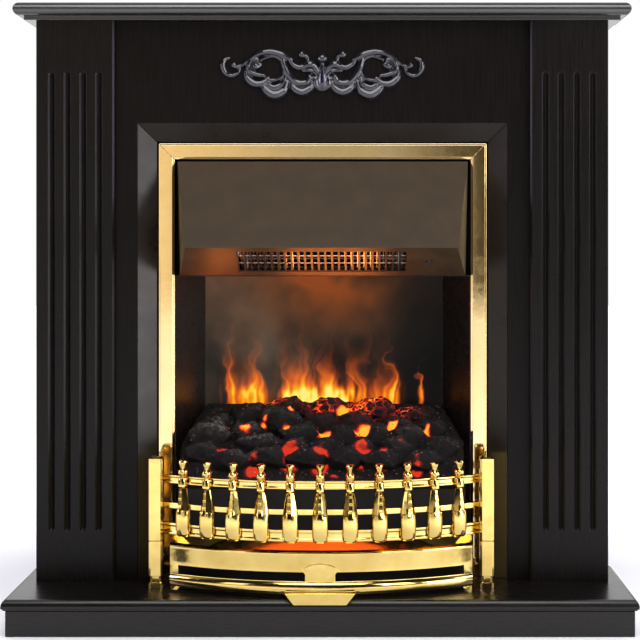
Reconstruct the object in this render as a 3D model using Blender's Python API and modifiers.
"""Electric fireplace suite: a board surround, an electric coal-effect fire and a loose brass fret.

Metres, +Z up, the front faces -Y. The origin is on the floor, under the middle of the whole suite.
"""
import math
import random

import bmesh
import bpy
from mathutils import Matrix, Vector

# General sizes
GAP = 0.0003                 # air between two pieces that touch
BOARD = 0.016                # surround board
SHEET = 0.0012               # folded steel sheet

# Brass trim of the insert: the standard size that the rest is built round
TRIM_WIDTH = 0.505
TRIM_HEIGHT = 0.667
TRIM_BAND = 0.025
TRIM_DEPTH = 0.004
TRIM_BEVEL = 0.0035
TRIM_LIP = 0.0008            # bevel's step under the flat
SHADOW_GAP = 0.002           # between the trim and the lining

# Surround
REVEAL_WIDTH = 0.0275        # bevelled lining, across
REVEAL_DEPTH = 0.020         # bevelled lining, front to back
LINING_BACKING = 0.004
BODY_WIDTH = 0.869
BODY_DEPTH = 0.135           # front panel's face to the wall
BODY_HEIGHT = 0.852          # hearth top to the mantel's underside
PILASTER_WIDTH = 0.1185
PILASTER_CHAMFER = 0.003
FLUTE_COUNT = 4
FLUTE_PITCH = 0.0239
FLUTE_WIDTH = 0.011
FLUTE_DEPTH = 0.005
FLUTE_TIP = 0.0002           # half the flat at a flute's bottom
FLUTE_BOTTOM = 0.0747        # above the hearth top
FLUTE_TOP = 0.077            # below the mantel's underside
INFILL_LAP = 0.075           # infill panel past the lining
MANTEL_THICKNESS = 0.026
MANTEL_OVERHANG = 0.0335     # past the body's sides
MANTEL_NOSE = 0.017          # past the pilasters' faces
MANTEL_TOP_INSET = 0.010
MANTEL_LOW_INSET = 0.015
RAIL_HEIGHT = 0.090
RAIL_DROP = 0.020            # rear rail under the mantel

# Hearth
FRET_REACH = 0.205           # trim's face to the hearth's front edge
HEARTH_OVERHANG = 0.0255     # past the body's sides
HEARTH_THICKNESS = 0.016
HEARTH_NOSE = 0.008
PLINTH_HEIGHT = 0.038
PLINTH_INSET = 0.006

# Scroll ornament on the frieze
ORNAMENT_WIDTH = 0.304
ORNAMENT_DROP = 0.079        # mantel's underside to the ornament's middle
ORNAMENT_RELIEF = 0.009
STROKE_WEIGHT = 1.30

# Insert
CASING_COVER = 0.007         # trim's lap over the casing's edge
CASING_CLEARANCE = 0.003     # round the casing, in the infill panel
CASING_BACK = 0.005          # casing to the wall
CHEEK_SPLAY = 0.039
SCREEN_THICKNESS = 0.003
SCREEN_SPACE = 0.0108        # behind the flame screen

# Hood and heater
HOOD_TOP_GAP = 0.0035        # under the trim
HOOD_SIDE_GAP = 0.0045
HOOD_HEIGHT = 0.132
HOOD_PROJECTION = 0.100
HOOD_TAPER = 0.020           # drawn in at the front edge, each side
RETURN_DROP = 0.043
RETURN_STOP = 0.005          # return's back edge in front of the trim's face
RETURN_SPREAD = 0.016
HOOD_FLANGE = 0.017
OUTLET_MARGIN = 0.036        # button's middle to the last slot's room
SLOT_PITCH = 0.0102
SLOT_WIDTH = 0.007
SLOT_LENGTH = 0.070
GRILLE_LAP = 0.004
ELEMENT_RADIUS = 0.0025
ELEMENT_PITCH = 0.0135
ELEMENT_RUNS = 4
ELEMENT_LENGTH = 0.250
ELEMENT_LIFT = 0.0125        # lowest run above the shelf
EAR_INSET = 0.008            # frame's ears inside the runs' ends
EAR_TOP = 0.010              # over the highest run
FRAME_DEPTH = 0.018
FAN_RADIUS = 0.026
FAN_LENGTH = 0.236
FAN_BLADES = 16
FAN_SHARE = 0.62             # axis between the shelf and the casing's top
FAN_BACK_SPACE = 0.006
FAN_CLEARANCE = 0.004
SHAFT_RADIUS = 0.003
MOTOR_RADIUS = 0.024
MOTOR_LENGTH = 0.034
MOTOR_SOCKET = 0.006         # depth of the motor's hole for the shaft
BUTTON_INSET = 0.062         # button's middle inside the hood's end
BUTTON_RADIUS = 0.0045
BUTTON_PROUD = 0.0025
BUTTON_TRAVEL = 0.002
BUTTON_GRIP = 0.003          # button inside the hood
SWITCH_SIZE = 0.016

# Fire bed and light works
BASE_CLEARANCE = 0.015       # fret's end line to the base box
BASE_HEIGHT = 0.146
BASE_SIDE_GAP = 0.0125       # base box inside the trim
BED_RISE = 0.100             # underside, front to back
BED_THICKNESS = 0.014
HEAP_RISE = 0.008            # bed's middle over its sides
HEAP_CORE = 0.012            # core under the coals, over the tray's rim
HEAP_RIM = 0.030             # core inside the tray's edges
COAL_CORNERS = 15
COAL_REACH = 0.066           # most that a coal takes from front to back
COAL_LIFT = 0.15             # share of a coal's half height that its middle stands over the tray
COALS = (                    # across and back as shares of the bed, width, height
    (-1.00, 0.76, 0.068, 0.044), (-0.76, 0.90, 0.082, 0.052), (-0.42, 1.00, 0.092, 0.048),
    (-0.16, 0.94, 0.062, 0.036), (0.08, 1.00, 0.086, 0.048), (0.32, 0.97, 0.066, 0.036),
    (0.56, 1.00, 0.082, 0.050), (0.98, 0.92, 0.098, 0.046), (-0.02, 0.70, 0.070, 0.044),
    (0.32, 0.70, 0.086, 0.050), (0.68, 0.68, 0.070, 0.042), (1.00, 0.62, 0.074, 0.050),
    (-1.00, 0.46, 0.076, 0.066), (-0.68, 0.55, 0.070, 0.044), (-0.40, 0.66, 0.084, 0.070),
    (-0.18, 0.42, 0.080, 0.058), (0.14, 0.44, 0.074, 0.046), (0.44, 0.40, 0.066, 0.054),
    (0.74, 0.42, 0.090, 0.056), (-1.00, 0.16, 0.068, 0.048), (-0.56, 0.28, 0.092, 0.044),
    (-0.22, 0.18, 0.066, 0.044), (0.04, 0.20, 0.074, 0.046), (0.30, 0.18, 0.068, 0.044),
    (0.60, 0.18, 0.072, 0.050), (1.00, 0.24, 0.080, 0.052), (-0.80, 0.00, 0.082, 0.044),
    (-0.46, 0.00, 0.084, 0.046), (-0.12, 0.00, 0.082, 0.044), (0.20, 0.00, 0.080, 0.044),
    (0.52, 0.00, 0.078, 0.042), (0.86, 0.00, 0.082, 0.046))
SPINNER_RADIUS = 0.018
SPINNER_END_GAP = 0.0123     # spindle's ends inside the cheeks' back edges
SPINNER_FLAGS = 10
FLAG_MARGIN = 0.015          # flags inside the spindle's ends
FLAG_THICKNESS = 0.0008
FLAG_SHARE = 0.8             # of each flag's pitch
FLAG_TWIST = 36              # degrees from flag to flag
BRACKET_WIDTH = 0.024
BRACKET_HEAD = 0.012         # bracket over the spindle
SPINDLE_END = 0.004          # spindle through its bracket
SPINNER_MOTOR_LENGTH = 0.0127
SPINNER_HEIGHT = 0.096
SPINNER_SETBACK = 0.053      # behind the trim's face
SPINDLE_RADIUS = 0.002
LAMP_SPACING = 0.200
LAMP_RADIUS = 0.0175
LAMP_LENGTH = 0.098
LAMP_SETBACK = 0.040         # in front of the trim's face
HOLDER_RADIUS = 0.014
HOLDER_HEIGHT = 0.030
COLLAR_LIFT = 0.004          # holder's collar over the rail
COLLAR_HEIGHT = 0.006
LAMP_RAIL_END = 0.030        # rail past each lamp
LAMP_RAIL_DEPTH = 0.040
LAMP_RAIL_THICKNESS = 0.004
CONTROL_WIDTH = 0.090
CONTROL_DEPTH = 0.018
CONTROL_HEIGHT = 0.034
CONTROL_SPACE = 0.002        # behind the trim's back
GLAND_INSET = 0.0745         # gland's middle inside the casing's end
GLAND_HEIGHT = 0.036
GLAND_RADIUS = 0.009
GLAND_BORE = 0.0035
GLAND_NECK = 0.0063          # radius in the casing's hole
GLAND_FLANGE = 0.004         # thickness inside the casing

# Fret
FRET_OVERHANG = 0.0039       # posts past the trim's sides
POST_WIDTH = 0.0204
POST_DEPTH = 0.030
POST_LEAD = 0.012            # post's face in front of the bars' ends
WING_THICKNESS = 0.007
FRET_SETBACK = 0.018         # bars' crown behind the hearth's front edge
FRET_SAGITTA = 0.092         # bow of the bars
BAR_DEPTH = 0.008
LOWER_BAR_BOTTOM = 0.081     # above the hearth
LOWER_BAR_RISE = 0.017
MIDDLE_BAR_GAP = 0.022       # clear height between the lower and the middle bar
MIDDLE_BAR_RISE = 0.008
TOP_BAR_GAP = 0.029
TOP_BAR_RISE = 0.012
BAR_RIB = 0.0012
FINGER_COUNT = 11
FINGER_END_GAP = 0.0467      # end finger to the post, along the bow
FINGER_WIDTH = 0.025
FINGER_DEPTH = 0.012
DIMPLES = (0.0028, 0.0038, 0.0047)
DIMPLE_DEPTH = 0.0014
FINGER_BELOW = 0.001         # finger's foot below the lower bar
FINGER_ABOVE = 0.024         # finger's knob above the top bar
POST_ABOVE = 0.0027          # post's top above the knobs
COVER_END_GAP = 0.012        # cover's ends inside the posts
COVER_SHEET = 0.003
COVER_BOTTOM = 0.0065
COVER_CLEARANCE = 0.002      # under the lower bar
COVER_LEDGE = 0.022          # depth of the sloping ledge
SLOT_BRIDGE = 0.043          # between the two long slots of the cover
COVER_SLOT_HEIGHT = 0.013
BOSS_WIDTH = 0.048
BOSS_HEIGHT = 0.020
TOE_WIDTH = 0.103
TOE_PROUD = 0.003            # toe past the hearth's front edge
TOE_DROP = 0.0066            # toe below the hearth's top

# Planes that follow from them
HEARTH_TOP = PLINTH_HEIGHT + HEARTH_THICKNESS
MANTEL_BOTTOM = HEARTH_TOP + BODY_HEIGHT
BODY_BOTTOM = HEARTH_TOP + GAP
BODY_TOP = MANTEL_BOTTOM - GAP
HEARTH_DEPTH = BODY_DEPTH - REVEAL_DEPTH + FRET_REACH
BACK_Y = (HEARTH_DEPTH + TOE_PROUD) / 2
HEARTH_FRONT = BACK_Y - HEARTH_DEPTH
FACE_Y = BACK_Y - BODY_DEPTH
TRIM_Y = FACE_Y + REVEAL_DEPTH
TRIM_BACK = TRIM_Y + TRIM_DEPTH
TRIM_TOP = HEARTH_TOP + TRIM_HEIGHT
TRIM_INNER = TRIM_WIDTH / 2 - TRIM_BAND
LINING_INNER = TRIM_WIDTH / 2 + SHADOW_GAP
LINING_INNER_TOP = TRIM_TOP + SHADOW_GAP
OPENING = LINING_INNER + REVEAL_WIDTH
OPENING_TOP = LINING_INNER_TOP + REVEAL_WIDTH
CASING_HALF = TRIM_INNER + CASING_COVER
CASING_FRONT = TRIM_BACK + GAP
CASING_REAR = BACK_Y - CASING_BACK
CASING_TOP = TRIM_TOP - TRIM_BAND + CASING_COVER
FLOOR_Z = BODY_BOTTOM + SHEET + GAP
INSIDE_HALF = CASING_HALF - SHEET - GAP
INSIDE_BACK = CASING_REAR - SHEET - GAP
SCREEN_BACK = CASING_REAR - SHEET - SCREEN_SPACE
SCREEN_FRONT = SCREEN_BACK - SCREEN_THICKNESS
HOOD_TOP = TRIM_TOP - TRIM_BAND - HOOD_TOP_GAP
HOOD_EDGE = HOOD_TOP - HOOD_HEIGHT
RETURN_BOTTOM = HOOD_EDGE - RETURN_DROP
SHELF_TOP = RETURN_BOTTOM - GAP
HOOD_HALF = TRIM_INNER - HOOD_SIDE_GAP
HOOD_FRONT_Y = TRIM_Y - HOOD_PROJECTION
RETURN_Y = TRIM_Y - RETURN_STOP
CROWN_Y = HEARTH_FRONT + FRET_SETBACK
FRET_WIDTH = TRIM_WIDTH + 2 * FRET_OVERHANG
POST_INNER = FRET_WIDTH / 2 - POST_WIDTH
ARC_R = (POST_INNER ** 2 + FRET_SAGITTA ** 2) / (2 * FRET_SAGITTA)
ARC_Y = CROWN_Y + ARC_R
BOW_HALF = ARC_R * math.asin(POST_INNER / ARC_R)
FINGER_PITCH = 2 * (BOW_HALF - FINGER_END_GAP) / (FINGER_COUNT - 1)
COVER_WIDTH = 2 * (POST_INNER - COVER_END_GAP)
POST_FRONT = CROWN_Y + FRET_SAGITTA - POST_LEAD
BASE_FRONT = CROWN_Y + FRET_SAGITTA + BASE_CLEARANCE
BASE_HALF = TRIM_INNER - BASE_SIDE_GAP
BUTTON_OFFSET = HOOD_HALF - BUTTON_INSET
SLOT_COUNT = 1 + 2 * int((BUTTON_OFFSET - OUTLET_MARGIN) / SLOT_PITCH)
GLAND_OFFSET = CASING_HALF - GLAND_INSET
CHEEK_REAR = TRIM_INNER - SHEET - CHEEK_SPLAY
SPINNER_LENGTH = 2 * (CHEEK_REAR - SPINNER_END_GAP)
MIDDLE_BAR_BOTTOM = LOWER_BAR_BOTTOM + LOWER_BAR_RISE + MIDDLE_BAR_GAP
TOP_BAR_BOTTOM = MIDDLE_BAR_BOTTOM + MIDDLE_BAR_RISE + TOP_BAR_GAP
FINGER_BOTTOM = LOWER_BAR_BOTTOM - FINGER_BELOW
FINGER_TOP = TOP_BAR_BOTTOM + TOP_BAR_RISE + FINGER_ABOVE
FRET_HEIGHT = FINGER_TOP + POST_ABOVE
COVER_TOP = LOWER_BAR_BOTTOM - COVER_CLEARANCE


# Scene, materials and small helpers

def clear_scene():
    for old in list(bpy.data.objects):
        bpy.data.objects.remove(old, do_unlink=True)
    parts = bpy.data.collections.new("electric_fireplace_suite")
    cutters = bpy.data.collections.new("cutters")
    for collection in (parts, cutters):
        bpy.context.scene.collection.children.link(collection)
    return parts, cutters


PARTS, CUTTERS = clear_scene()


def material(name, colour, roughness, metallic=0.0):
    made = bpy.data.materials.new(name)
    made.use_nodes = True
    shader = made.node_tree.nodes["Principled BSDF"]
    shader.inputs["Base Color"].default_value = (*colour, 1.0)
    shader.inputs["Roughness"].default_value = roughness
    shader.inputs["Metallic"].default_value = metallic
    return made


BLACK_BOARD = material("black_board", (0.012, 0.010, 0.010), 0.30)
LINING_BOARD = material("lining_board", (0.050, 0.042, 0.036), 0.35)
ORNAMENT_BLACK = material("ornament_black", (0.020, 0.020, 0.022), 0.22)
BRASS = material("brass", (0.78, 0.57, 0.22), 0.12, 1.0)
HOOD_BRONZE = material("hood_bronze", (0.078, 0.062, 0.048), 0.38, 0.4)
BLACK_STEEL = material("black_steel", (0.018, 0.017, 0.017), 0.45, 0.2)
PLAIN_STEEL = material("plain_steel", (0.55, 0.56, 0.57), 0.38, 1.0)
DARK_PLASTIC = material("dark_plastic", (0.020, 0.020, 0.020), 0.40)
COAL = material("coal", (0.022, 0.020, 0.020), 0.85)
SCREEN = material("flame_screen", (0.060, 0.035, 0.024), 0.30)
GLASS = material("lamp_glass", (0.90, 0.88, 0.80), 0.10)


def keep(name, bm, finish, collection=PARTS, location=(0, 0, 0)):
    """Turn a bmesh into a named object with its faces pointing out."""
    bmesh.ops.recalc_face_normals(bm, faces=bm.faces)
    mesh = bpy.data.meshes.new(name)
    bm.to_mesh(mesh)
    bm.free()
    return keep_mesh(name, mesh, finish, collection, location)


def keep_mesh(name, mesh, finish, collection=PARTS, location=(0, 0, 0)):
    made = bpy.data.objects.new(name, mesh)
    if finish and not mesh.materials:
        mesh.materials.append(finish)
    made.location = location
    collection.objects.link(made)
    if collection is CUTTERS:
        made.hide_render = True
        made.display_type = "WIRE"
    return made


def bevel(piece, width, segments=1, angle=40):
    made = piece.modifiers.new("bevel", "BEVEL")
    made.width = width
    made.segments = segments
    made.limit_method = "ANGLE"
    made.angle_limit = math.radians(angle)
    return piece


def boolean(piece, other, operation="DIFFERENCE", own_overlaps=False):
    made = piece.modifiers.new(operation.lower(), "BOOLEAN")
    made.operation = operation
    made.solver = "EXACT"
    made.use_self = own_overlaps
    made.object = other
    return piece


def add_box(bm, low, high):
    size = [b - a for a, b in zip(low, high)]
    middle = [(a + b) / 2 for a, b in zip(low, high)]
    place = Matrix.Translation(middle) @ Matrix.Diagonal((*size, 1.0))
    return bmesh.ops.create_cube(bm, size=1.0, matrix=place)["verts"]


def box(name, low, high, finish, edge=0.0, collection=PARTS):
    bm = bmesh.new()
    add_box(bm, low, high)
    made = keep(name, bm, finish, collection)
    return bevel(made, edge) if edge else made


def add_rod(bm, start, end, radius, sides=16, end_radius=None):
    """A cylinder or cone between two points."""
    start, end = Vector(start), Vector(end)
    run = end - start
    turn = Vector((0, 0, 1)).rotation_difference(run).to_matrix().to_4x4()
    place = Matrix.Translation((start + end) / 2) @ turn
    return bmesh.ops.create_cone(
        bm, cap_ends=True, segments=sides, radius1=radius,
        radius2=radius if end_radius is None else end_radius,
        depth=run.length, matrix=place)["verts"]


def add_loft(bm, rings, closed=True):
    """Skin a row of rings that have the same number of points, and cap both ends."""
    rows = [[bm.verts.new(point) for point in ring] for ring in rings]
    count = len(rows[0])
    for low, high in zip(rows, rows[1:]):
        for i in range(count if closed else count - 1):
            j = (i + 1) % count
            bm.faces.new((low[i], low[j], high[j], high[i]))
    if closed:
        bm.faces.new(list(reversed(rows[0])))
        bm.faces.new(rows[-1])
    return rows


def loft(name, rings, finish, collection=PARTS):
    bm = bmesh.new()
    add_loft(bm, rings)
    return keep(name, bm, finish, collection)


def prism_y(name, outline, front, back, finish, collection=PARTS):
    """An outline in X and Z, extruded from front to back."""
    return loft(name, [[(x, y, z) for x, z in outline] for y in (front, back)], finish, collection)


def sheet(name, corners, faces, finish):
    """Folded sheet metal from its corners and open faces."""
    bm = bmesh.new()
    points = [bm.verts.new(corner) for corner in corners]
    for face in faces:
        bm.faces.new([points[i] for i in face])
    return walled(name, bm, finish)


def walled(name, bm, finish):
    """Open faces made a folded sheet, its wall behind them."""
    mesh = bpy.data.meshes.new(name)
    bm.to_mesh(mesh)
    bm.free()
    made = keep_mesh(name, mesh, finish)
    wall = made.modifiers.new("wall", "SOLIDIFY")
    wall.thickness = SHEET
    wall.offset = -1.0
    wall.use_even_offset = True
    return made


def turned(name, profile, finish, location, axis, steps=24):
    """A (radius, height) profile, top to bottom, turned round its own Z and laid along axis."""
    mesh = bpy.data.meshes.new(name)
    ring = profile[0] == profile[-1]
    points = profile[:-1] if ring else profile
    count = len(points)
    edges = [(i, (i + 1) % count) for i in range(count if ring else count - 1)]
    mesh.from_pydata([(r, 0, z) for r, z in points], edges, [])
    made = keep_mesh(name, mesh, finish, location=location)
    made.rotation_euler = Vector((0, 0, 1)).rotation_difference(Vector(axis)).to_euler()
    spin = made.modifiers.new("turn", "SCREW")
    spin.steps = steps
    spin.render_steps = steps
    spin.use_merge_vertices = True
    spin.merge_threshold = 0.00005
    return made


# Surround

def plinth():
    half = BODY_WIDTH / 2 + HEARTH_OVERHANG - PLINTH_INSET
    front = HEARTH_FRONT + PLINTH_INSET
    top = PLINTH_HEIGHT - GAP
    box("plinth_front", (-half, front, 0), (half, front + BOARD, top), BLACK_BOARD, 0.0008)
    for side, name in ((-1, "plinth_left"), (1, "plinth_right")):
        edges = sorted((side * half, side * (half - BOARD)))
        box(name, (edges[0], front + BOARD + GAP, 0), (edges[1], BACK_Y, top), BLACK_BOARD, 0.0008)


def moulded_board(name, half, front, profile, finish):
    """A board whose front and ends follow a routed profile of (inset, height) steps."""
    rings = []
    for inset, height in profile:
        x, y = half - inset, front + inset
        rings.append([(-x, y, height), (x, y, height), (x, BACK_Y, height), (-x, BACK_Y, height)])
    return loft(name, rings, finish)


def nose_profile(bottom, top, nose, steps=6):
    """A rounded nose over a small square step."""
    step = (top - bottom) * 0.12
    profile = [(nose * 0.35, bottom), (nose * 0.35, bottom + step), (nose * 0.12, bottom + step * 1.2)]
    rise = top - bottom - step * 2.2
    for i in range(steps + 1):
        turn = math.radians(90 * i / steps)
        profile.append((nose * (1 - math.cos(turn)), bottom + step * 2.2 + rise * math.sin(turn)))
    return profile


def mantel_profile(steps=5):
    """Low step, ogee out to the tip, then a thumb moulding back to the flat top."""
    tip = MANTEL_BOTTOM + MANTEL_THICKNESS * 0.62
    step = MANTEL_BOTTOM + MANTEL_THICKNESS * 0.23
    rise = tip - step
    profile = [(MANTEL_LOW_INSET, MANTEL_BOTTOM), (MANTEL_LOW_INSET, step)]
    for i in range(steps + 1):
        turn = math.radians(90 * i / steps)
        inset = MANTEL_LOW_INSET * 0.62 * (1 - math.sin(turn))
        profile.append((inset, step + rise * (0.04 + 0.96 * (1 - math.cos(turn)))))
    top = MANTEL_BOTTOM + MANTEL_THICKNESS
    for i in range(1, steps + 1):
        turn = math.radians(90 * i / steps)
        profile.append((MANTEL_TOP_INSET * (1 - math.cos(turn)), tip + (top - tip) * math.sin(turn)))
    return profile


def horizontal_boards():
    half = BODY_WIDTH / 2 + HEARTH_OVERHANG
    nose = nose_profile(PLINTH_HEIGHT, HEARTH_TOP, HEARTH_NOSE)
    moulded_board("hearth_board", half, HEARTH_FRONT, nose, BLACK_BOARD)
    half = BODY_WIDTH / 2 + MANTEL_OVERHANG
    front = FACE_Y - BOARD - MANTEL_NOSE
    moulded_board("mantel_board", half, front, mantel_profile(), BLACK_BOARD)


def flute_cutter(name, x, front):
    """The path of a V bit with a small flat tip, from below the board's face to its full depth."""
    low = BODY_BOTTOM + FLUTE_BOTTOM + FLUTE_WIDTH / 2
    high = BODY_TOP - FLUTE_TOP - FLUTE_WIDTH / 2
    proud = FLUTE_DEPTH * 0.4
    wide = FLUTE_WIDTH / 2 * (FLUTE_DEPTH + proud) / FLUTE_DEPTH
    rings = []
    for y, radius in ((front - proud, wide), (front + FLUTE_DEPTH, FLUTE_TIP)):
        ring = []
        for middle, start in ((high, 0), (low, 180)):
            for step in range(7):
                turn = math.radians(start + 30 * step)
                ring.append((x + radius * math.cos(turn), y, middle + radius * math.sin(turn)))
        rings.append(ring)
    return loft(name, rings, None, CUTTERS)


def pilasters():
    outer = BODY_WIDTH / 2
    inner = outer - PILASTER_WIDTH
    front, back = FACE_Y - BOARD, FACE_Y - GAP
    outline = [(outer, back), (inner, back), (inner, front + PILASTER_CHAMFER),
               (inner + PILASTER_CHAMFER, front), (outer - 0.001, front), (outer, front + 0.001)]
    middle = (outer + inner) / 2
    for side, name in ((-1, "pilaster_left"), (1, "pilaster_right")):
        rings = [[(side * x, y, z) for x, y in outline] for z in (BODY_BOTTOM, BODY_TOP)]
        board = loft(name, rings, BLACK_BOARD)
        for i in range(FLUTE_COUNT):
            x = middle + (i - (FLUTE_COUNT - 1) / 2) * FLUTE_PITCH
            boolean(board, flute_cutter(f"{name}_flute_{i + 1}", side * x, front))


def u_panel(name, outer, top, inner, inner_top, front, back):
    """A board with a fire opening that is open at the hearth."""
    outline = [(-outer, BODY_BOTTOM), (-outer, top), (outer, top), (outer, BODY_BOTTOM),
               (inner, BODY_BOTTOM), (inner, inner_top), (-inner, inner_top), (-inner, BODY_BOTTOM)]
    return prism_y(name, outline, front, back, BLACK_BOARD)


def body_panels():
    side_inner = BODY_WIDTH / 2 - BOARD
    for side, name in ((-1, "side_panel_left"), (1, "side_panel_right")):
        edges = sorted((side * side_inner, side * BODY_WIDTH / 2))
        box(name, (edges[0], FACE_Y, BODY_BOTTOM), (edges[1], BACK_Y, BODY_TOP), BLACK_BOARD, 0.0008)
    u_panel("front_panel", side_inner - GAP, BODY_TOP, OPENING + GAP, OPENING_TOP + GAP,
            FACE_Y, FACE_Y + BOARD)
    infill_front = TRIM_BACK + GAP
    u_panel("infill_panel", LINING_INNER + INFILL_LAP, OPENING_TOP + INFILL_LAP,
            CASING_HALF + CASING_CLEARANCE, CASING_TOP + CASING_CLEARANCE,
            infill_front, infill_front + BOARD)
    top = BODY_TOP - RAIL_DROP
    box("rear_rail", (-side_inner + GAP, BACK_Y - BOARD, top - RAIL_HEIGHT),
        (side_inner - GAP, BACK_Y, top), BLACK_BOARD, 0.0008)


def mitred_frame(stem, half, top, face_y, profile, finish):
    """Three mitred lengths round an opening; profile points are (inward, depth)."""
    mitre = GAP * math.sqrt(2)
    for side, name in ((-1, "left"), (1, "right")):
        foot = [(side * (half - a), face_y + d, BODY_BOTTOM) for a, d in profile]
        head = [(side * (half - a), face_y + d, top - a - mitre) for a, d in profile]
        loft(f"{stem}_{name}", [foot, head], finish)
    ends = [[(side * (half - a), face_y + d, top - a) for a, d in profile] for side in (-1, 1)]
    loft(f"{stem}_top", ends, finish)


def lining():
    back = REVEAL_DEPTH + LINING_BACKING
    profile = [(0, 0), (REVEAL_WIDTH, REVEAL_DEPTH), (REVEAL_WIDTH, back), (0, back)]
    mitred_frame("lining", OPENING, OPENING_TOP, FACE_Y, profile, LINING_BOARD)


def trim():
    flat = TRIM_BAND - TRIM_BEVEL
    outer_edge, inner_edge = TRIM_DEPTH * 0.45, TRIM_DEPTH * 0.65
    profile = [(0, TRIM_DEPTH), (0, outer_edge), (TRIM_BEVEL * 0.4, TRIM_LIP), (TRIM_BEVEL, TRIM_LIP),
               (TRIM_BEVEL, 0), (flat, 0), (flat, TRIM_LIP), (TRIM_BAND, inner_edge),
               (TRIM_BAND, TRIM_DEPTH)]
    mitred_frame("trim", TRIM_WIDTH / 2, TRIM_TOP, TRIM_Y, profile, BRASS)


def smooth_path(points, steps):
    """Catmull-Rom points through a row of control points, each of any number of values."""
    padded = [points[0], *points, points[-1]]
    path = []
    for p0, p1, p2, p3 in zip(padded, padded[1:], padded[2:], padded[3:]):
        for i in range(steps):
            t = i / steps
            path.append(tuple(
                0.5 * (2 * b + (c - a) * t + (2 * a - 5 * b + 4 * c - d) * t * t
                       + (3 * b - a - 3 * c + d) * t ** 3)
                for a, b, c, d in zip(p0, p1, p2, p3)))
    path.append(tuple(points[-1]))
    return path


def stroke_mesh(stroke, depth_scale):
    """A stroke of (x, z, thickness) as a curve object with a bevel, made a mesh and welded."""
    curve = bpy.data.curves.new("strokes", "CURVE")
    curve.dimensions = "3D"
    curve.bevel_depth = 1.0
    curve.bevel_resolution = 1
    curve.use_fill_caps = True
    line = curve.splines.new("POLY")
    line.points.add(len(stroke) - 1)
    for point, (x, z, thickness) in zip(line.points, stroke):
        point.co = (x, 0, z, 1)
        point.radius = thickness
    holder = bpy.data.objects.new("strokes", curve)
    CUTTERS.objects.link(holder)
    bpy.context.view_layer.update()
    solid = holder.evaluated_get(bpy.context.evaluated_depsgraph_get())
    mesh = bpy.data.meshes.new_from_object(solid)
    bpy.data.objects.remove(holder, do_unlink=True)
    bm = bmesh.new()
    bm.from_mesh(mesh)
    bmesh.ops.scale(bm, vec=(1, depth_scale, 1), verts=bm.verts)
    bmesh.ops.remove_doubles(bm, verts=bm.verts, dist=0.00001)
    return bm


def ornament_strokes():
    """Right half of the scroll as (out, up, thickness), in half widths from its middle."""
    hook = [(0.905, 0.150, 0.010), (0.965, 0.120, 0.020), (0.978, 0.062, 0.024),
            (0.950, -0.002, 0.022), (0.890, -0.030, 0.018), (0.830, 0.002, 0.014), (0.812, 0.060, 0.012)]
    stem = [(0.880, 0.088, 0.026), (0.852, 0.062, 0.022), (0.800, 0.070, 0.014), (0.740, 0.115, 0.015),
            (0.640, 0.180, 0.020), (0.530, 0.205, 0.026), (0.420, 0.185, 0.028), (0.315, 0.135, 0.022)]
    sweep = [(0.395, 0.150, 0.020), (0.372, 0.060, 0.026), (0.315, -0.040, 0.028), (0.240, -0.100, 0.028),
             (0.160, -0.095, 0.026), (0.125, -0.045, 0.026)]
    near = [(0.312, -0.060, 0.014), (0.280, -0.150, 0.028), (0.200, -0.190, 0.034), (0.122, -0.150, 0.028),
            (0.092, -0.072, 0.016)]
    spiral = [(0.560, -0.030, 0.014), (0.635, -0.022, 0.020), (0.700, 0.005, 0.022), (0.730, 0.062, 0.020),
              (0.700, 0.120, 0.018), (0.640, 0.128, 0.016), (0.612, 0.085, 0.018), (0.650, 0.064, 0.030)]
    lobe = [(0.750, 0.040, 0.014), (0.740, -0.045, 0.026), (0.670, -0.108, 0.032), (0.585, -0.102, 0.026),
            (0.530, -0.055, 0.018)]
    crescent = [(0.585, -0.075, 0.014), (0.566, -0.155, 0.030), (0.477, -0.218, 0.040),
                (0.382, -0.180, 0.032), (0.345, -0.090, 0.018)]
    lip = [(0.540, -0.060, 0.014), (0.528, -0.118, 0.020), (0.468, -0.145, 0.024), (0.395, -0.105, 0.020),
           (0.365, -0.030, 0.018)]
    arch = [(0.600, 0.130, 0.012), (0.491, 0.165, 0.016), (0.408, 0.130, 0.018), (0.370, 0.050, 0.018),
            (0.394, -0.030, 0.018), (0.463, -0.070, 0.016), (0.530, -0.075, 0.014)]
    upper = [(0.330, 0.135, 0.016), (0.280, 0.072, 0.022), (0.215, 0.050, 0.024), (0.155, 0.090, 0.022),
             (0.150, 0.155, 0.018), (0.200, 0.178, 0.030)]
    petal = [(0.215, 0.030, 0.014), (0.135, 0.080, 0.032), (0.075, 0.060, 0.026), (0.030, -0.010, 0.018)]
    drop = [(0.110, -0.050, 0.012), (0.070, -0.060, 0.022), (0.058, -0.125, 0.026), (0.022, -0.165, 0.016)]
    tails = (hook, stem, sweep, near, spiral, lobe, crescent, lip, arch, upper, petal, drop)
    return [smooth_path(points, 2 if len(points) < 6 else 1) for points in tails]


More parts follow.
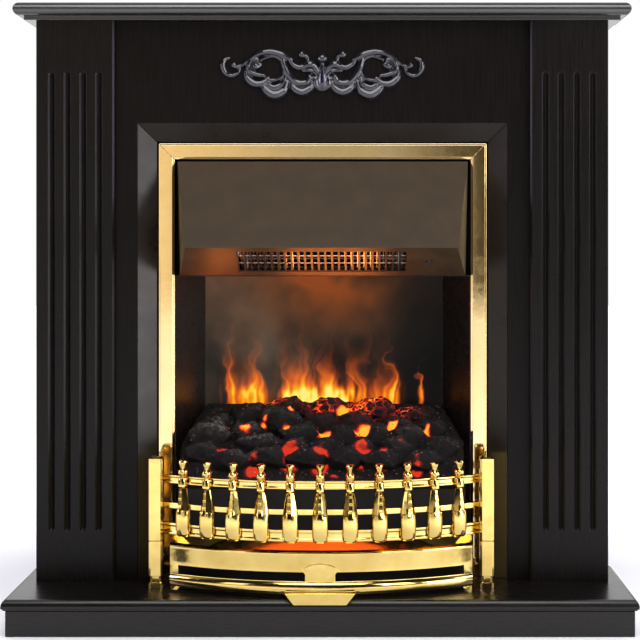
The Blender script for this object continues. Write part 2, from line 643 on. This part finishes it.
def ornament():
    """Carved scroll: swept strokes joined to a centre bud, both halves, cut flat at the back."""
    unit = ORNAMENT_WIDTH / 2
    middle = MANTEL_BOTTOM - ORNAMENT_DROP
    back = FACE_Y - GAP
    bud = bmesh.new()
    rings = []
    for up, half, rise in ((-0.185, 0.008, 0.3), (-0.130, 0.036, 0.7), (-0.050, 0.032, 0.8),
                           (0.055, 0.024, 0.6), (0.075, 0.030, 0.6), (0.115, 0.052, 1.0),
                           (0.158, 0.010, 0.4)):
        turns = [math.radians(30 * i) for i in range(7)]
        rings.append([(half * unit * math.cos(a), back + 0.001 - ORNAMENT_RELIEF * rise * math.sin(a),
                       middle + up * unit) for a in turns])
    add_loft(bud, rings)
    made = keep("ornament", bud, ORNAMENT_BLACK)
    for number, stroke in enumerate(ornament_strokes()):
        for side, hand in ((1, "right"), (-1, "left")):
            line = [(side * x * unit, middle + z * unit, r * unit * STROKE_WEIGHT) for x, z, r in stroke]
            bm = stroke_mesh(line, 1.15)
            bmesh.ops.translate(bm, vec=(0, back - 0.0004 - 0.00007 * number, 0), verts=bm.verts)
            stroke_solid = keep(f"ornament_stroke_{number + 1}_{hand}", bm, None, CUTTERS)
            boolean(made, stroke_solid, "UNION")
    wall = box("ornament_back", (-unit * 2, back, middle - unit), (unit * 2, back + BOARD, middle + unit),
               None, 0, CUTTERS)
    boolean(made, wall)


# Insert

def casing():
    """Open-fronted steel box with a hole for the cable gland."""
    low = (-CASING_HALF, CASING_FRONT, BODY_BOTTOM)
    high = (CASING_HALF, CASING_REAR, CASING_TOP)
    made = open_box("insert_casing", low, high, BLACK_STEEL, ("-y",))
    bm = bmesh.new()
    z = FLOOR_Z + GLAND_HEIGHT
    add_rod(bm, (GLAND_OFFSET, CASING_REAR - 0.01, z), (GLAND_OFFSET, CASING_REAR + 0.01, z),
            GLAND_NECK + GAP)
    boolean(made, keep("gland_hole", bm, None, CUTTERS))


def open_box(name, low, high, finish, missing):
    """A folded sheet box that lacks the named sides."""
    bm = bmesh.new()
    add_box(bm, low, high)
    facing = {"-y": (0, -1, 0), "+y": (0, 1, 0), "+z": (0, 0, 1)}
    gone = [face for face in bm.faces
            if any(face.normal.dot(Vector(facing[key])) > 0.9 for key in missing)]
    bmesh.ops.delete(bm, geom=gone, context="FACES")
    return walled(name, bm, finish)


def firebox():
    """Splayed cheeks, the flame screen behind them and the heater shelf above."""
    top = SHELF_TOP - SHEET - GAP
    front_x = TRIM_INNER - SHEET
    front_y = CASING_FRONT + GAP
    rear_y = SCREEN_FRONT - GAP
    for side, name in ((-1, "cheek_left"), (1, "cheek_right")):
        corners = [(side * front_x, front_y, FLOOR_Z), (side * CHEEK_REAR, rear_y, FLOOR_Z),
                   (side * (CHEEK_REAR + SHEET), rear_y, FLOOR_Z),
                   (side * (front_x + SHEET), front_y, FLOOR_Z)]
        loft(name, [corners, [(x, y, top) for x, y, _ in corners]], BLACK_STEEL)
    box("flame_screen", (-INSIDE_HALF, SCREEN_FRONT, FLOOR_Z), (INSIDE_HALF, SCREEN_BACK, top), SCREEN)
    box("heater_shelf", (-INSIDE_HALF, CASING_FRONT + GAP, SHELF_TOP - SHEET),
        (INSIDE_HALF, INSIDE_BACK, SHELF_TOP), BLACK_STEEL)


def return_frame():
    """Frame of the hood's return: X, up its slope to the back, and into the hood."""
    slope = math.atan2(RETURN_DROP, RETURN_Y - HOOD_FRONT_Y)
    middle = Vector((0, (HOOD_FRONT_Y + RETURN_Y) / 2, (HOOD_EDGE + RETURN_BOTTOM) / 2))
    return Matrix.Translation(middle) @ Matrix.Rotation(-slope, 4, "X")


def hood():
    edge_half = HOOD_HALF - HOOD_TAPER
    low_half = edge_half + RETURN_SPREAD
    flange_y = RETURN_Y + HOOD_FLANGE
    rows = [(HOOD_HALF, flange_y, HOOD_TOP), (HOOD_HALF, TRIM_Y - GAP, HOOD_TOP),
            (edge_half, HOOD_FRONT_Y, HOOD_EDGE), (low_half, RETURN_Y, RETURN_BOTTOM),
            (low_half, flange_y, RETURN_BOTTOM)]
    corners = [(x, y, z) for x, y, z in rows] + [(-x, y, z) for x, y, z in rows]
    bands = [(i, i + 5, i + 6, i + 1) for i in range(4)]
    ends = [(1, 2, 3), (0, 1, 3, 4), (8, 7, 6), (9, 8, 6, 5)]
    made = sheet("hood", corners, bands + ends, HOOD_BRONZE)
    place = return_frame()
    bm = bmesh.new()
    half = (SLOT_PITCH * (SLOT_COUNT - 1) + SLOT_WIDTH) / 2 + GRILLE_LAP / 2
    add_box(bm, (-half, -SLOT_LENGTH / 2 - GRILLE_LAP / 2, -0.01),
            (half, SLOT_LENGTH / 2 + GRILLE_LAP / 2, 0.01))
    add_rod(bm, (BUTTON_OFFSET, 0, -0.01), (BUTTON_OFFSET, 0, 0.01), BUTTON_RADIUS + 0.0004)
    bmesh.ops.transform(bm, matrix=place, verts=bm.verts)
    boolean(made, keep("hood_window", bm, None, CUTTERS))


def outlet_grille():
    """Slotted plate behind the window in the hood's return."""
    half = (SLOT_PITCH * (SLOT_COUNT - 1) + SLOT_WIDTH) / 2 + GRILLE_LAP * 1.5
    long = SLOT_LENGTH / 2 + GRILLE_LAP * 1.5
    front = SHEET + GAP
    bm = bmesh.new()
    add_box(bm, (-half, -long, front), (half, long, front + SHEET))
    made = keep("outlet_grille", bm, BLACK_STEEL)
    made.matrix_world = return_frame()
    bm = bmesh.new()
    for i in range(SLOT_COUNT):
        x = (i - (SLOT_COUNT - 1) / 2) * SLOT_PITCH
        add_box(bm, (x - SLOT_WIDTH / 2, -SLOT_LENGTH / 2, -0.01),
                (x + SLOT_WIDTH / 2, SLOT_LENGTH / 2, 0.01))
    slots = keep("outlet_slots", bm, None, CUTTERS)
    slots.matrix_world = return_frame()
    boolean(made, slots)


def standby_button():
    """Push button through the return, and the switch behind it."""
    place = return_frame() @ Matrix.Translation((BUTTON_OFFSET, 0, 0))
    crown = BUTTON_RADIUS * 0.8
    length = BUTTON_PROUD + SHEET + BUTTON_GRIP
    profile = [(0, length), (BUTTON_RADIUS, length), (BUTTON_RADIUS, 0.0006), (crown, 0), (0, 0)]
    button = turned("standby_button", profile, DARK_PLASTIC, (0, 0, 0), (0, 0, 1))
    button.matrix_world = place @ Matrix.Translation((0, 0, -BUTTON_PROUD))
    face = SHEET + GAP
    well = length - BUTTON_PROUD + BUTTON_TRAVEL + GAP
    bm = bmesh.new()
    reach = SWITCH_SIZE / 2
    add_box(bm, (-reach, -reach, face), (reach, reach, face + SWITCH_SIZE))
    switch = keep("standby_switch", bm, DARK_PLASTIC)
    switch.matrix_world = place
    bm = bmesh.new()
    add_rod(bm, (0, 0, 0), (0, 0, well), BUTTON_RADIUS + 0.0004)
    hole = keep("standby_well", bm, None, CUTTERS)
    hole.matrix_world = place
    boolean(switch, hole)


def heater():
    """Serpentine rod element, threaded through the two ears of its frame."""
    y = RETURN_Y + HOOD_FLANGE + FRAME_DEPTH / 2 + 0.001
    low = SHELF_TOP + GAP
    first = low + ELEMENT_LIFT
    half = ELEMENT_LENGTH / 2
    points = []
    for run in range(ELEMENT_RUNS):
        z = first + run * ELEMENT_PITCH
        way = 1 if run % 2 == 0 else -1
        points += [(-way * half, y, z), (way * half, y, z)]
        if run < ELEMENT_RUNS - 1:
            for step in range(1, 5):
                turn = math.radians(-90 + 36 * step)
                points.append((way * (half + ELEMENT_PITCH / 2 * math.cos(turn)), y,
                               z + ELEMENT_PITCH / 2 * (1 + math.sin(turn))))
    curve = bpy.data.curves.new("heater_element", "CURVE")
    curve.dimensions = "3D"
    curve.bevel_depth = ELEMENT_RADIUS
    curve.bevel_resolution = 2
    curve.use_fill_caps = True
    line = curve.splines.new("POLY")
    line.points.add(len(points) - 1)
    for point, place in zip(line.points, points):
        point.co = (*place, 1)
    made = bpy.data.objects.new("heater_element", curve)
    curve.materials.append(PLAIN_STEEL)
    PARTS.objects.link(made)
    ear = half - EAR_INSET
    high = first + (ELEMENT_RUNS - 1) * ELEMENT_PITCH + EAR_TOP
    near, far = y - FRAME_DEPTH / 2, y + FRAME_DEPTH / 2
    corners = [(-ear, near, high), (-ear, far, high), (-ear, near, low), (-ear, far, low),
               (ear, near, low), (ear, far, low), (ear, near, high), (ear, far, high)]
    frame = sheet("heater_frame", corners, [(0, 1, 3, 2), (2, 3, 5, 4), (4, 5, 7, 6)], PLAIN_STEEL)
    bm = bmesh.new()
    for run in range(ELEMENT_RUNS):
        z = first + run * ELEMENT_PITCH
        add_rod(bm, (-half - 0.02, y, z), (half + 0.02, y, z), ELEMENT_RADIUS + GAP * 1.5, 8)
    boolean(frame, keep("heater_frame_holes", bm, None, CUTTERS))


def fan():
    """Cross-flow wheel in its scroll housing, with the motor on the right."""
    reach = FAN_RADIUS + FAN_CLEARANCE + SHEET * 2
    y = INSIDE_BACK - FAN_BACK_SPACE - reach
    z = SHELF_TOP + (CASING_TOP - SHELF_TOP) * FAN_SHARE
    half = FAN_LENGTH / 2
    plate = half + FAN_CLEARANCE
    base = bmesh.new()
    add_rod(base, (-half, 0, 0), (-half + 0.003, 0, 0), FAN_RADIUS, 24)
    wheel = keep("blower_wheel", base, PLAIN_STEEL, location=(0, y, z))
    bm = bmesh.new()
    add_rod(bm, (half - 0.003, 0, 0), (half, 0, 0), FAN_RADIUS, 24)
    add_rod(bm, (-plate - SHEET - 0.004, 0, 0), (plate + SHEET + 0.004, 0, 0), SHAFT_RADIUS)
    blade = [(0.942, 0.0), (0.692, -0.115), (0.692, -0.085), (0.819, -0.054), (0.927, 0.031)]
    for i in range(FAN_BLADES):
        turn = Matrix.Rotation(2 * math.pi * i / FAN_BLADES, 3, "X")
        outline = [(FAN_RADIUS * a, FAN_RADIUS * b) for a, b in blade]
        outline = [turn @ Vector((0, a, b)) for a, b in outline]
        add_loft(bm, [[(x, p.y, p.z) for p in outline] for x in (-half + 0.0015, half - 0.0015)])
    rest = keep("blower_blades", bm, None, CUTTERS, (0, y, z))
    boolean(wheel, rest, "UNION", own_overlaps=True)
    fan_housing(y, z, plate)
    motor_housing(y, z, plate)


def fan_housing(y, z, plate):
    """Two end plates on the shelf, joined by a scroll behind and above the wheel."""
    inner = FAN_RADIUS + FAN_CLEARANCE
    arc = []
    for i in range(9):
        turn = math.radians(-60 + 210 * i / 8)
        arc.append((y + inner * math.cos(turn), z + inner * math.sin(turn)))
    outer = []
    for i in range(8, -1, -1):
        turn = math.radians(-60 + 210 * i / 8)
        outer.append((y + (inner + SHEET) * math.cos(turn), z + (inner + SHEET) * math.sin(turn)))
    made = loft("blower_housing", [[(x, a, b) for a, b in arc + outer]
                                   for x in (-plate - SHEET / 2, plate + SHEET / 2)], PLAIN_STEEL)
    bm = bmesh.new()
    reach = inner + SHEET * 2
    for side in (-1, 1):
        edges = sorted((side * plate, side * (plate + SHEET)))
        add_box(bm, (edges[0], y - reach, SHELF_TOP + GAP), (edges[1], y + reach, z + reach))
    boolean(made, keep("blower_plates", bm, None, CUTTERS), "UNION")
    bm = bmesh.new()
    add_rod(bm, (-plate - 0.01, y, z), (plate + 0.01, y, z), SHAFT_RADIUS + GAP * 1.5)
    boolean(made, keep("blower_bearings", bm, None, CUTTERS))


def motor_housing(y, z, plate):
    """Fan motor: a turned can with a rim and a blind hole for the shaft."""
    start = plate + SHEET + GAP
    hole = SHAFT_RADIUS + GAP * 1.5
    rim = MOTOR_RADIUS
    can = MOTOR_RADIUS * 0.86
    flange = MOTOR_LENGTH * 0.15
    profile = [(0, MOTOR_LENGTH), (can * 0.5, MOTOR_LENGTH), (can, MOTOR_LENGTH * 0.92),
               (can, flange + rim - can), (rim, flange), (rim, 0), (hole, 0), (hole, MOTOR_SOCKET),
               (0, MOTOR_SOCKET)]
    turned("blower_motor", profile, PLAIN_STEEL, (start, y, z), (1, 0, 0), 16)


def base_box():
    """Black box under the coals, with sides that rise with the bed, and a lamp rail inside."""
    back = TRIM_BACK - GAP
    low = BODY_BOTTOM
    front_top = HEARTH_TOP + BASE_HEIGHT
    back_top = front_top + bed_climb(back)
    half = BASE_HALF
    corners = [(-half, BASE_FRONT, front_top), (half, BASE_FRONT, front_top),
               (-half, BASE_FRONT, low), (half, BASE_FRONT, low),
               (-half, back, low), (half, back, low),
               (-half, back, back_top), (half, back, back_top)]
    faces = [(0, 2, 3, 1), (2, 4, 5, 3), (0, 6, 4, 2), (1, 3, 5, 7)]
    sheet("base_box", corners, faces, BLACK_STEEL)


def bed_climb(y):
    """Height that the bed's underside gains from its front edge to y."""
    return BED_RISE * (y - BASE_FRONT) / (SCREEN_FRONT - BASE_FRONT)


def bed_half(y):
    """Half width of the bed at y: inside the trim, then inside the splayed cheeks."""
    if y <= CASING_FRONT:
        return BASE_HALF + 0.001
    share = (y - CASING_FRONT) / (SCREEN_FRONT - CASING_FRONT)
    return TRIM_INNER - SHEET - 0.003 - CHEEK_SPLAY * share


def fuel_bed():
    """Moulded bed: a sloping tray with rows of lumps standing out of it."""
    base = HEARTH_TOP + BASE_HEIGHT + GAP
    front, back = BASE_FRONT - 0.003, SCREEN_FRONT - 0.001
    rings = []
    for y, core in ((front, 0), (front + HEAP_RIM, HEAP_CORE), (CASING_FRONT, HEAP_CORE),
                    (back - HEAP_RIM, HEAP_CORE), (back, 0)):
        low = base + max(0.0, bed_climb(y))
        rim = low + BED_THICKNESS
        half = min(bed_half(y), BASE_HALF + 0.001)
        rings.append([(-half, y, low), (half, y, low), (half, y, rim), (half - HEAP_RIM, y, rim + core),
                      (HEAP_RIM - half, y, rim + core), (-half, y, rim)])
    made = loft("fuel_bed", rings, COAL)
    coals = bmesh.new()
    for number, (across, depth, width, height) in enumerate(COALS):
        size = Vector((width, min(width, COAL_REACH), height)) / 2
        y = front + size.y + (back - front - size.y * 2) * depth
        limit = min(bed_half(y + size.y), BASE_HALF) - size.x
        top = base + max(0.0, bed_climb(y)) + BED_THICKNESS
        z = top + HEAP_RISE * (1 - across ** 2) + COAL_LIFT * size.z
        add_coal(coals, Vector((across * limit, y, z)), size, number)
    boolean(made, keep("fuel_coals", coals, None, CUTTERS), "UNION", own_overlaps=True)


def add_coal(bm, place, size, seed):
    """One broken coal: the hull of points spread over a blunt block, within its size."""
    pick = random.Random(seed)
    golden = math.pi * (3 - math.sqrt(5))
    points = []
    for i in range(COAL_CORNERS):
        height = 1 - 2 * (i + 0.5) / COAL_CORNERS
        turn = i * golden + pick.uniform(-0.4, 0.4)
        ring = math.sqrt(1 - height ** 2)
        point = Vector((ring * math.cos(turn), ring * math.sin(turn), height))
        blunt = sum(abs(value) ** 3 for value in point) ** (-1 / 3)
        points.append(point * blunt * pick.uniform(0.84, 1.0))
    verts = [bm.verts.new(place + Vector(a * b for a, b in zip(point, size))) for point in points]
    hull = bmesh.ops.convex_hull(bm, input=verts)
    spare = [item for item in hull["geom_interior"] + hull["geom_unused"]
             if isinstance(item, bmesh.types.BMVert)]
    bmesh.ops.delete(bm, geom=spare, context="VERTS")


def light_works():
    """Lamps under the bed and the turning spindle that makes the flames flicker."""
    y = TRIM_Y - LAMP_SETBACK
    top = FLOOR_Z + LAMP_RAIL_THICKNESS
    half = LAMP_SPACING / 2 + LAMP_RAIL_END
    rail = box("lamp_rail", (-half, y - LAMP_RAIL_DEPTH / 2, FLOOR_Z),
               (half, y + LAMP_RAIL_DEPTH / 2, top), PLAIN_STEEL)
    holders = bmesh.new()
    for side, name in ((-1, "lamp_left"), (1, "lamp_right")):
        x = side * LAMP_SPACING / 2
        collar = top + COLLAR_LIFT
        add_rod(holders, (x, y, top - GAP), (x, y, top + HOLDER_HEIGHT), HOLDER_RADIUS, 12)
        add_rod(holders, (x, y, collar), (x, y, collar + COLLAR_HEIGHT), HOLDER_RADIUS * 1.25, 12)
        bulb(name, x, y, top + HOLDER_HEIGHT + GAP)
    boolean(rail, keep("lamp_holders", holders, None, CUTTERS), "UNION", own_overlaps=True)
    spinner()
    front = TRIM_BACK + CONTROL_SPACE
    box("control_box", (-CONTROL_WIDTH / 2, front, FLOOR_Z),
        (CONTROL_WIDTH / 2, front + CONTROL_DEPTH, FLOOR_Z + CONTROL_HEIGHT), DARK_PLASTIC, 0.0015)
    gland()


def bulb(name, x, y, z):
    """Candle lamp: metal cap, then a glass envelope that tapers to its tip."""
    profile = [(0, LAMP_LENGTH)]
    for i in range(1, 9):
        t = i / 8
        swell = math.sin(math.pi * t ** 0.8 * 0.80) ** 0.9
        profile.append((LAMP_RADIUS * swell, LAMP_LENGTH * (1 - 0.80 * t)))
    cap = LAMP_RADIUS * 0.66
    profile += [(cap, LAMP_LENGTH * 0.17), (cap, 0), (0, 0)]
    turned(name, profile, GLASS, (x, y, z), (0, 0, 1), 12)


def spinner():
    """Spindle with bright flags set round it in a spiral, its bracket and its motor."""
    y = TRIM_Y + SPINNER_SETBACK
    z = FLOOR_Z + SPINNER_HEIGHT
    half = SPINNER_LENGTH / 2
    base = bmesh.new()
    add_rod(base, (-half - SPINDLE_END, 0, 0), (half, 0, 0), SPINDLE_RADIUS, 12)
    made = keep("flame_spinner", base, PLAIN_STEEL, location=(0, y, z))
    flags = bmesh.new()
    first = -half + FLAG_MARGIN
    pitch = (SPINNER_LENGTH - FLAG_MARGIN * 2) / SPINNER_FLAGS
    reach = pitch * FLAG_SHARE / 2
    for i in range(SPINNER_FLAGS):
        x = first + pitch * (i + 0.5)
        verts = add_box(flags, (x - reach, -SPINNER_RADIUS, -FLAG_THICKNESS / 2),
                        (x + reach, SPINNER_RADIUS, FLAG_THICKNESS / 2))
        turn = Matrix.Rotation(math.radians(8 + FLAG_TWIST * i), 3, "X")
        bmesh.ops.rotate(flags, cent=(0, 0, 0), matrix=turn, verts=verts)
    boolean(made, keep("spinner_flags", flags, None, CUTTERS, (0, y, z)), "UNION")
    bracket = box("spinner_bracket", (-half - GAP - SHEET, y - BRACKET_WIDTH / 2, FLOOR_Z),
                  (-half - GAP, y + BRACKET_WIDTH / 2, z + BRACKET_HEAD), PLAIN_STEEL)
    hole = bmesh.new()
    add_rod(hole, (-half - SPINDLE_END, y, z), (-half + SPINDLE_END, y, z),
            SPINDLE_RADIUS + GAP * 1.5, 12)
    boolean(bracket, keep("spinner_bearing", hole, None, CUTTERS))
    start = half + GAP
    foot = box("spinner_motor", (start, y - BRACKET_WIDTH / 2, FLOOR_Z),
               (start + SHEET, y + BRACKET_WIDTH / 2, z), PLAIN_STEEL)
    can = bmesh.new()
    add_rod(can, (start, y, z), (start + SPINNER_MOTOR_LENGTH, y, z), SPINNER_RADIUS, 20)
    boolean(foot, keep("spinner_motor_can", can, None, CUTTERS), "UNION")


def gland():
    """Bush that grips the casing's back wall, with a bore for the lead."""
    wall = SHEET + GAP * 2
    outside = CASING_BACK - GAP * 3
    cap = -wall - GLAND_FLANGE
    profile = [(GLAND_BORE, outside), (GLAND_RADIUS * 0.8, outside), (GLAND_RADIUS, outside * 0.6),
               (GLAND_RADIUS, 0), (GLAND_NECK, 0), (GLAND_NECK, -wall), (GLAND_RADIUS, -wall),
               (GLAND_RADIUS, cap), (GLAND_BORE, cap), (GLAND_BORE, outside)]
    place = (GLAND_OFFSET, CASING_REAR + GAP, FLOOR_Z + GLAND_HEIGHT)
    turned("cable_gland", profile, DARK_PLASTIC, place, (0, 1, 0), 12)


# Fret: its curved pieces are laid out flat, then bent round the bow

def bend(bm, stations):
    """Bend a flat layout (u along the bow, -y outwards, z) round the bow's centre."""
    limit = ARC_R * math.pi / 2
    for i in range(-stations, stations + 1):
        place = (limit * i / stations, 0, 0)
        bmesh.ops.bisect_plane(bm, geom=bm.verts[:] + bm.edges[:] + bm.faces[:], plane_co=place,
                               plane_no=(1, 0, 0), dist=0.00001)
    for vert in bm.verts:
        turn = vert.co.x / ARC_R
        reach = ARC_R - vert.co.y
        vert.co = Vector((reach * math.sin(turn), ARC_Y - reach * math.cos(turn), vert.co.z))


def clip_ends(bm, half):
    """Cut a bent piece square at plus and minus half, and close it."""
    for side in (-1, 1):
        cut = bmesh.ops.bisect_plane(bm, geom=bm.verts[:] + bm.edges[:] + bm.faces[:],
                                     plane_co=(side * half, 0, 0), plane_no=(side, 0, 0),
                                     dist=0.000001, clear_outer=True)
        edges = [item for item in cut["geom_cut"] if isinstance(item, bmesh.types.BMEdge)]
        bmesh.ops.edgeloop_fill(bm, edges=edges)


def fret_bars():
    """Three curved bars; the top and the lower one have a raised rib along each edge."""
    length = POST_INNER * 1.35
    for name, low, rise, ribbed in (("fret_bar_top", TOP_BAR_BOTTOM, TOP_BAR_RISE, True),
                                    ("fret_bar_middle", MIDDLE_BAR_BOTTOM, MIDDLE_BAR_RISE, False),
                                    ("fret_bar_lower", LOWER_BAR_BOTTOM, LOWER_BAR_RISE, True)):
        profile = [(0, 0), (0, 0.2), (BAR_RIB, 0.3), (BAR_RIB, 0.7), (0, 0.8), (0, 1),
                   (BAR_DEPTH, 1), (BAR_DEPTH, 0)]
        if not ribbed:
            profile = [(y, share) for y, share in profile if share in (0, 1)]
        bottom = HEARTH_TOP + low
        bm = bmesh.new()
        add_loft(bm, [[(u, y, bottom + rise * share) for y, share in profile] for u in (-length, length)])
        bend(bm, 18)
        clip_ends(bm, POST_INNER - GAP)
        keep(name, bm, BRASS)


def finger_section(half, depth, facet, z):
    """Octagon with a flat back and a narrow front facet, at height z."""
    side = [(facet, depth), (half * 0.88, depth * 0.66), (half, depth * 0.30), (half * 0.80, 0.0)]
    return [(x, -y, z) for x, y in side] + [(-x, -y, z) for x, y in reversed(side)]


def finger_mesh():
    """Faceted baluster: chamfered barrel, flared skirt with three dimples, collar, ball and knob."""
    full = FINGER_WIDTH / 2
    unit = FINGER_TOP - FINGER_BOTTOM
    stops = [(0.000, 0.72, 0.60, 0.42), (0.030, 0.93, 0.83, 0.45), (0.190, 1.00, 1.00, 0.46),
             (0.345, 0.96, 0.97, 0.44), (0.346, 0.90, 0.87, 0.24), (0.500, 0.72, 0.83, 0.22),
             (0.640, 0.50, 0.75, 0.20), (0.650, 0.58, 0.83, 0.30), (0.775, 0.58, 0.83, 0.30),
             (0.785, 0.36, 0.58, 0.18), (0.815, 0.54, 0.82, 0.24), (0.865, 0.54, 0.82, 0.24),
             (0.895, 0.30, 0.55, 0.14), (0.965, 0.46, 0.73, 0.20), (1.000, 0.32, 0.58, 0.14)]
    rings = [finger_section(full * wide, FINGER_DEPTH * deep, full * facet * wide,
                            FINGER_BOTTOM + unit * height) for height, wide, deep, facet in stops]
    bm = bmesh.new()
    add_loft(bm, rings)
    draft = keep("finger_blank", bm, None, CUTTERS)
    dents = bmesh.new()
    skirt = FINGER_DEPTH * 0.82 - DIMPLE_DEPTH
    for share, size in zip((0.585, 0.490, 0.395), DIMPLES):
        z = FINGER_BOTTOM + unit * share
        add_box(dents, (-size / 2, -FINGER_DEPTH * 1.5, z - size / 2), (size / 2, -skirt, z + size / 2))
    boolean(draft, keep("finger_dents", dents, None, CUTTERS))
    bpy.context.view_layer.update()
    solid = draft.evaluated_get(bpy.context.evaluated_depsgraph_get())
    mesh = bpy.data.meshes.new_from_object(solid)
    mesh.name = "fret_finger"
    mesh.materials.clear()
    mesh.materials.append(BRASS)
    return mesh


def fingers():
    mesh = finger_mesh()
    for i in range(FINGER_COUNT):
        turn = (i - (FINGER_COUNT - 1) / 2) * FINGER_PITCH / ARC_R
        reach = ARC_R + GAP
        place = (reach * math.sin(turn), ARC_Y - reach * math.cos(turn), HEARTH_TOP)
        made = keep_mesh(f"fret_finger_{i + 1:02d}", mesh, BRASS, location=place)
        made.rotation_euler = (0, 0, turn)


def post_ring(side, inset, z, chamfer=0.003):
    """Chamfered rectangle of the post at one height."""
    x0, x1 = POST_INNER + inset, FRET_WIDTH / 2 - inset
    y0, y1 = POST_FRONT + inset, POST_FRONT + POST_DEPTH - inset
    c = chamfer
    ring = [(x0 + c, y0), (x1 - c, y0), (x1, y0 + c), (x1, y1 - c), (x1 - c, y1), (x0 + c, y1),
            (x0, y1 - c), (x0, y0 + c)]
    return [(side * x, y, z) for x, y in ring]


def posts():
    """End posts with a grooved foot, each with its side wing running back to the trim."""
    top = HEARTH_TOP + FRET_HEIGHT
    levels = [(0.0, 0), (0.0085, 0), (0.0092, 0.0022), (0.0182, 0.0022), (0.0189, 0), (0.0700, 0),
              (0.0707, 0.0008), (0.0714, 0), (FRET_HEIGHT - 0.003, 0), (FRET_HEIGHT, 0.003)]
    for side, name in ((-1, "fret_post_left"), (1, "fret_post_right")):
        rings = [post_ring(side, inset, BODY_BOTTOM + (top - BODY_BOTTOM) * z / FRET_HEIGHT)
                 for z, inset in levels]
        made = loft(name, rings, BRASS)
        outer = LINING_INNER - 0.0005
        edges = sorted((side * outer, side * (outer - WING_THICKNESS)))
        wing = box(f"{name}_wing", (edges[0], POST_FRONT + POST_DEPTH - 0.006, BODY_BOTTOM + 0.0002),
                   (edges[1], TRIM_Y - GAP, top - 0.0035), None, 0, CUTTERS)
        boolean(made, wing, "UNION")


def cover_profile():
    """Section of the ashpan cover as (outward, height): ledge, face, hollow and bottom rail."""
    low, high = COVER_BOTTOM, COVER_TOP
    rail = low + 0.0155
    ledge = high - 0.013
    front = [(-COVER_LEDGE, high), (0.006, ledge), (0.0065, ledge - 0.002), (0.0060, ledge - 0.004),
             (0.0050, ledge - 0.022), (0.0055, rail + 0.002), (0.0075, rail), (0.0100, rail - 0.003),
             (0.0100, low + 0.005), (0.0080, low + 0.002), (0.0070, low)]
    t = COVER_SHEET
    back = [(0.0070 - t, low), (0.0060 - t, rail), (0.0045 - t, ledge - 0.004), (0.0020 - t, ledge - 0.003),
            (-COVER_LEDGE, high - t)]
    return front + back


def ashpan_cover():
    length = COVER_WIDTH * 0.65
    bm = bmesh.new()
    add_loft(bm, [[(u, -v, HEARTH_TOP + z) for v, z in cover_profile()] for u in (-length, length)])
    flat = keep("cover_blank", bm, None, CUTTERS)
    slots = bmesh.new()
    slot_low = HEARTH_TOP + COVER_BOTTOM + 0.0185
    slot_end = COVER_WIDTH / 2 * 0.93
    for side in (-1, 1):
        edges = sorted((side * SLOT_BRIDGE / 2, side * ARC_R * math.asin(slot_end / ARC_R)))
        add_box(slots, (edges[0], -0.03, slot_low), (edges[1], 0.03, slot_low + COVER_SLOT_HEIGHT))
    boolean(flat, keep("cover_slots", slots, None, CUTTERS))
    boss = bmesh.new()
    boss_z = slot_low + COVER_SLOT_HEIGHT + BOSS_HEIGHT * 0.10
    add_rod(boss, (0, -0.0085, boss_z), (0, -0.0030, boss_z), 0.5, 24)
    bmesh.ops.scale(boss, vec=(BOSS_WIDTH, 1, BOSS_HEIGHT), space=Matrix.Translation((0, 0, -boss_z)),
                    verts=boss.verts)
    boolean(flat, keep("cover_boss", boss, None, CUTTERS), "UNION")
    bpy.context.view_layer.update()
    solid = flat.evaluated_get(bpy.context.evaluated_depsgraph_get())
    bm = bmesh.new()
    bm.from_mesh(bpy.data.meshes.new_from_object(solid))
    bend(bm, 18)
    clip_ends(bm, COVER_WIDTH / 2)
    made = keep("ashpan_cover", bm, BRASS)
    cover_feet(made)


def cover_feet(cover):
    """A wide toe over the hearth's edge in the middle and a small foot at each end."""
    top = HEARTH_TOP + COVER_BOTTOM + 0.004
    low = HEARTH_TOP + GAP
    toe_low = HEARTH_TOP - TOE_DROP
    front = HEARTH_FRONT - TOE_PROUD
    lip = HEARTH_FRONT - GAP
    back = CROWN_Y + 0.001
    section = [(front, toe_low), (front, top - 0.002), (lip, top), (back, top), (back, low), (lip, low),
               (lip, toe_low)]
    taper = (TOE_WIDTH * 0.13) / (top - toe_low)
    rings = [[(side * (TOE_WIDTH / 2 - taper * (top - z)), y, z) for y, z in section] for side in (-1, 1)]
    boolean(cover, loft("cover_toe", rings, None, CUTTERS), "UNION")
    for side, name in ((-1, "left"), (1, "right")):
        x1 = COVER_WIDTH / 2 - 0.001
        y0 = ARC_Y - math.sqrt((ARC_R + 0.0068) ** 2 - x1 ** 2)
        rings = []
        for z, wide in ((low, 0.010), (top, 0.017)):
            rings.append([(side * x, y, z) for x, y in ((x1 - wide, y0 - 0.002), (x1, y0 + 0.0005),
                                                       (x1, y0 + 0.005), (x1 - wide, y0 + 0.003))])
        boolean(cover, loft(f"cover_foot_{name}", rings, None, CUTTERS), "UNION")


def hang(parent_name, place, names):
    """Parent pieces to an empty on their joint's axis, where they stand."""
    empty = bpy.data.objects.new(parent_name, None)
    empty.location = place
    PARTS.objects.link(empty)
    bpy.context.view_layer.update()
    for name in names:
        piece = bpy.data.objects[name]
        piece.parent = empty
        piece.matrix_parent_inverse = empty.matrix_world.inverted()


def build():
    plinth()
    horizontal_boards()
    pilasters()
    body_panels()
    lining()
    trim()
    ornament()
    casing()
    firebox()
    hood()
    outlet_grille()
    standby_button()
    heater()
    fan()
    base_box()
    fuel_bed()
    light_works()
    fret_bars()
    fingers()
    posts()
    ashpan_cover()
    fret = [piece.name for piece in PARTS.objects if piece.name.startswith(("fret_", "ashpan_"))]
    hang("fret_lift_axis", (0, POST_FRONT, HEARTH_TOP), fret)


build()
